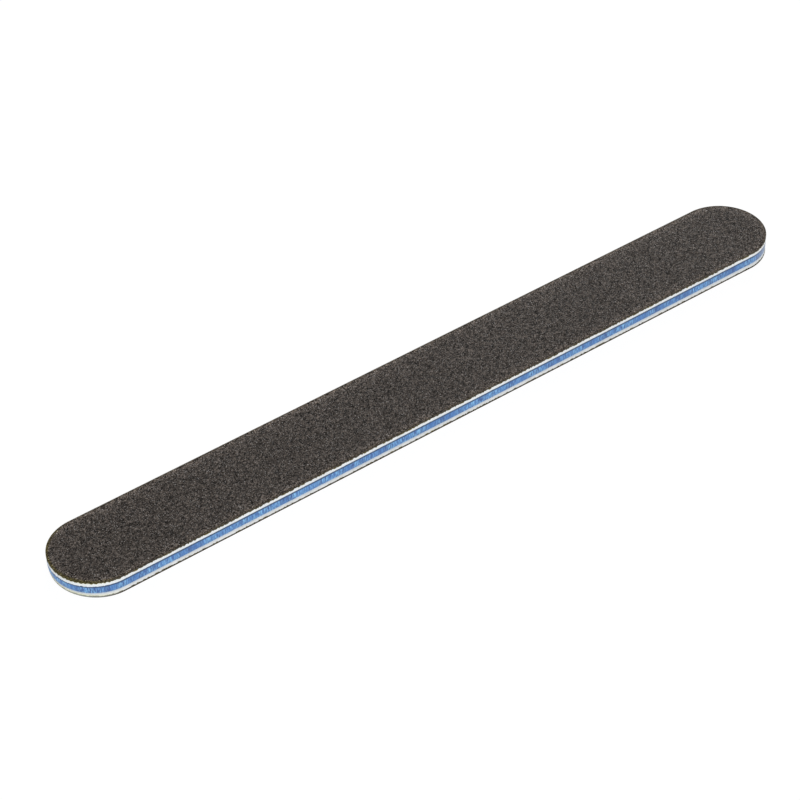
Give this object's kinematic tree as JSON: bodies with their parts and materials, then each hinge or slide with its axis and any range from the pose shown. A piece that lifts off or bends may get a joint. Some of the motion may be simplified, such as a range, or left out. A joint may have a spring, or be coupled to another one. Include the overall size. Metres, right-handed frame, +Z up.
{
  "type": "emery board",
  "caption": "Straight cushioned emery board: abrasive paper over a foam cushion on each face of a stiff plastic core, die-cut with full round ends.",
  "frame": {"origin": "centre of the bounding box on the bottom face, on the surface that the board rests on", "axes": "+X along the length, +Y across the width, +Z up through the thickness, out of the top abrasive face"},
  "size_m": [0.178, 0.019, 0.0041],
  "materials": {
    "grit": "matte",
    "resin": "satin",
    "backing_paper": "matte",
    "paper_adhesive": "satin",
    "foam": "matte",
    "core_adhesive": "satin",
    "core_plastic": "satin"
  },
  "bodies": {
    "root": {"top_grit": "grit", "top_resin_coat": "resin", "top_paper": "backing_paper", "top_paper_adhesive": "paper_adhesive", "top_foam": "foam", "top_core_adhesive": "core_adhesive", "core": "core_plastic", "bottom_core_adhesive": "core_adhesive", "bottom_foam": "foam", "bottom_paper_adhesive": "paper_adhesive", "bottom_paper": "backing_paper", "bottom_resin_coat": "resin", "bottom_grit": "grit"}
  },
  "joints": []
}
